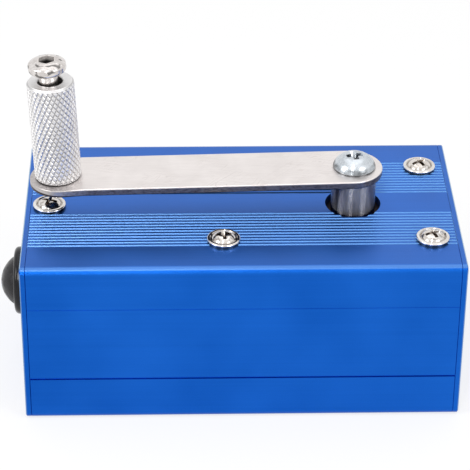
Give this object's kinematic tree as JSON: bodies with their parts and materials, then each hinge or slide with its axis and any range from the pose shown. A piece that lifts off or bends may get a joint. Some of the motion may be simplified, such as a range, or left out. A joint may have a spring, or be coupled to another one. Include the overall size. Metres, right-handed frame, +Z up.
{
  "type": "hand crank generator",
  "caption": "Pocket hand crank generator: ribbed blue aluminium case, flat steel crank with a knurled spinning grip on top, geared generator inside, push button and output sockets on one end.",
  "frame": {"origin": "centre of the case's flat underside", "axes": "+X along the case to the end beside the crank shaft, +Y to the back, +Z up along the crank shaft"},
  "size_m": [0.1221, 0.066, 0.0926],
  "materials": {
    "blue_anodised_shell": "satin blue anodised extrusion with fine length-wise die grain",
    "blue_end_panel": "satin blue anodised plate",
    "chrome_screws": "bright nickel-chrome plating",
    "steel_plates": "zinc plated sheet",
    "turned_steel": "turned steel",
    "zinc_screws": "zinc plated",
    "bronze_bushes": "oiled sintered bronze",
    "polished_shaft": "dark polished ground steel",
    "steel_gears": "hobbed steel, oiled",
    "spring_steel": "spring steel",
    "crank_arm_steel": "tumbled satin stainless steel with light scratches",
    "nickel_pin": "bright nickel plating",
    "knurled_aluminium": "bright diamond knurl",
    "brass_wheels": "hobbed brass",
    "zinc_case": "drawn zinc plated sheet",
    "lamination_steel": "stacked laminations",
    "copper_coils": "enamelled copper wire",
    "magnet": "sintered magnet, nickel plated",
    "black_button_housing": "moulded black, slightly satin",
    "black_button_cap": "polished black",
    "nickel_nut": "nickel plated brass",
    "brass_contacts": "tinned brass",
    "green_board": "solder-masked glass laminate",
    "socket_sheet": "nickel plated sheet",
    "black_moulding": "moulded black",
    "capacitor_sleeve": "shrink sleeve",
    "ferrite": "ground ferrite",
    "yellow_leads": "soft lead insulation",
    "red_leads": "soft lead insulation"
  },
  "bodies": {
    "casing": {"upper_shell": "blue_anodised_shell", "lower_shell": "blue_anodised_shell", "left_end_panel": "blue_end_panel", "right_end_panel": "blue_end_panel", "end_panel_screws": "chrome_screws", "top_screws": "chrome_screws", "gearbox_top_plate": "steel_plates", "gearbox_bottom_plate": "steel_plates", "gear_cover_plate": "steel_plates", "gearbox_pillars": "turned_steel", "pillar_screws": "zinc_screws", "cover_spacers": "turned_steel", "cover_screws": "zinc_screws", "upper_shaft_bush": "bronze_bushes", "lower_shaft_bush": "bronze_bushes", "arbor_bushes": "bronze_bushes", "generator_case": "zinc_case", "generator_end_cap": "zinc_case", "generator_screws": "zinc_screws", "generator_bearings": "turned_steel", "stator_core": "lamination_steel", "stator_coils": "copper_coils", "button_housing": "black_button_housing", "button_nut": "nickel_nut", "button_spring": "spring_steel", "button_terminals": "brass_contacts", "circuit_board": "green_board", "board_pillar": "turned_steel", "board_screw": "zinc_screws", "usb_socket": "socket_sheet", "usb_tongue": "black_moulding", "dc_socket": "black_moulding", "dc_pin": "brass_contacts", "bridge_rectifier": "black_moulding", "smoothing_capacitor": "capacitor_sleeve", "voltage_regulator": "black_moulding", "storage_inductor": "ferrite", "generator_leads": "yellow_leads", "switch_leads": "red_leads"},
    "crank": {"crank_shaft": "polished_shaft", "drive_gear": "steel_gears", "gear_grub_screw": "zinc_screws", "shaft_retaining_ring": "spring_steel", "crank_arm": "crank_arm_steel", "arm_screw": "chrome_screws", "grip_pin": "nickel_pin"},
    "grip": {"handle_grip": "knurled_aluminium"},
    "first_arbor": {"first_pinion_arbor": "steel_gears", "second_stage_wheel": "brass_wheels"},
    "second_arbor": {"second_pinion_arbor": "steel_gears", "third_stage_wheel": "brass_wheels"},
    "rotor": {"generator_shaft": "turned_steel", "rotor_magnet": "magnet", "generator_pinion": "brass_wheels"},
    "button": {"button_cap": "black_button_cap"}
  },
  "joints": [
    {"name": "crank_turn", "type": "hinge", "parent": "casing", "child": "crank", "pos_m": [0.0303, 0, 0.05], "axis": [0, 0, 1], "continuous": true},
    {"name": "grip_spin", "type": "hinge", "parent": "crank", "child": "grip", "pos_m": [-0.04864, -0.00303, 0.05804], "axis": [-0.0418, -0.0016, 0.9991], "continuous": true},
    {"name": "first_arbor_turn", "type": "hinge", "parent": "casing", "child": "first_arbor", "pos_m": [0.0033, 0, 0.0215], "axis": [0, 0, 1], "continuous": true},
    {"name": "second_arbor_turn", "type": "hinge", "parent": "casing", "child": "second_arbor", "pos_m": [-0.01057, 0.01147, 0.0115], "axis": [0, 0, 1], "continuous": true},
    {"name": "rotor_turn", "type": "hinge", "parent": "casing", "child": "rotor", "pos_m": [-0.0167, 0, 0.028], "axis": [0, 0, 1], "continuous": true},
    {"name": "button_press", "type": "slide", "parent": "casing", "child": "button", "axis": [1, 0, 0], "range_m": [0, 0.0015], "stiffness_N_per_m": 500, "springref_m": -0.002, "deforming": ["button_spring"]}
  ],
  "couplings": [
    {"joint": "first_arbor_turn", "follows": "crank_turn", "ratio": -5},
    {"joint": "second_arbor_turn", "follows": "crank_turn", "ratio": 20},
    {"joint": "rotor_turn", "follows": "crank_turn", "ratio": -66.667}
  ]
}
